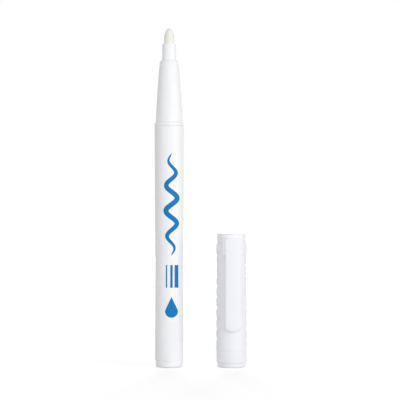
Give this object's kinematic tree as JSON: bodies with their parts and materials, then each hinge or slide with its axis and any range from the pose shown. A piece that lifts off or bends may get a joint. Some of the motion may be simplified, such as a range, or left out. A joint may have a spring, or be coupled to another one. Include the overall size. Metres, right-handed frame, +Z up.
{
  "type": "paint marker",
  "caption": "Slim white paint marker with a felt bullet nib on a press-to-flow valve, its clip cap with notched sides taken off and standing beside it.",
  "frame": {"origin": "middle of the flat foot of the tail plug", "axes": "+Z up along the pen's axis towards the nib, +X towards the cap that stands beside it, -Y towards the cap's clip"},
  "size_m": [0.0347, 0.0131, 0.1274],
  "materials": {
    "barrel_white": "satin",
    "cap_white": "satin",
    "felt": "pressed fibre",
    "natural_plastic": "moulded",
    "seal_rubber": "matte",
    "spring_steel": "drawn wire",
    "ball_steel": "ground",
    "print_blue": "screen print"
  },
  "bodies": {
    "pen": {"barrel": "barrel_white", "tail_plug": "barrel_white", "grip_section": "barrel_white", "nib_holder": "barrel_white", "valve_housing": "natural_plastic", "spring_retainer": "natural_plastic", "valve_spring": "spring_steel"},
    "plunger": {"nib": "felt", "valve_stem": "natural_plastic", "valve_gasket": "seal_rubber"},
    "ball": {"mixing_ball": "ball_steel"},
    "cap": {"cap_shell": "cap_white", "cap_crown": "cap_white", "inner_cap": "natural_plastic"},
    "clip": {"cap_clip": "cap_white"}
  },
  "joints": [
    {"name": "nib_press", "type": "slide", "parent": "pen", "child": "plunger", "axis": [0, 0, -1], "range_m": [0, 0.002], "stiffness_N_per_m": 400, "springref_m": -0.002, "deforming": ["valve_spring"]},
    {"name": "ball_rattle", "type": "slide", "parent": "pen", "child": "ball", "axis": [0, 0, 1], "range_m": [0, 0.0771]},
    {"name": "cap_lift", "type": "slide", "parent": "pen", "child": "cap", "axis": [0, 0, 1], "range_m": [0, 0.13]},
    {"name": "clip_flex", "type": "hinge", "parent": "cap", "child": "clip", "pos_m": [0.02376, -0.00456, 0.04751], "axis": [-0.9976, -0.0698, 0], "range_deg": [0, 4], "stiffness_Nm_per_rad": 0.5}
  ]
}
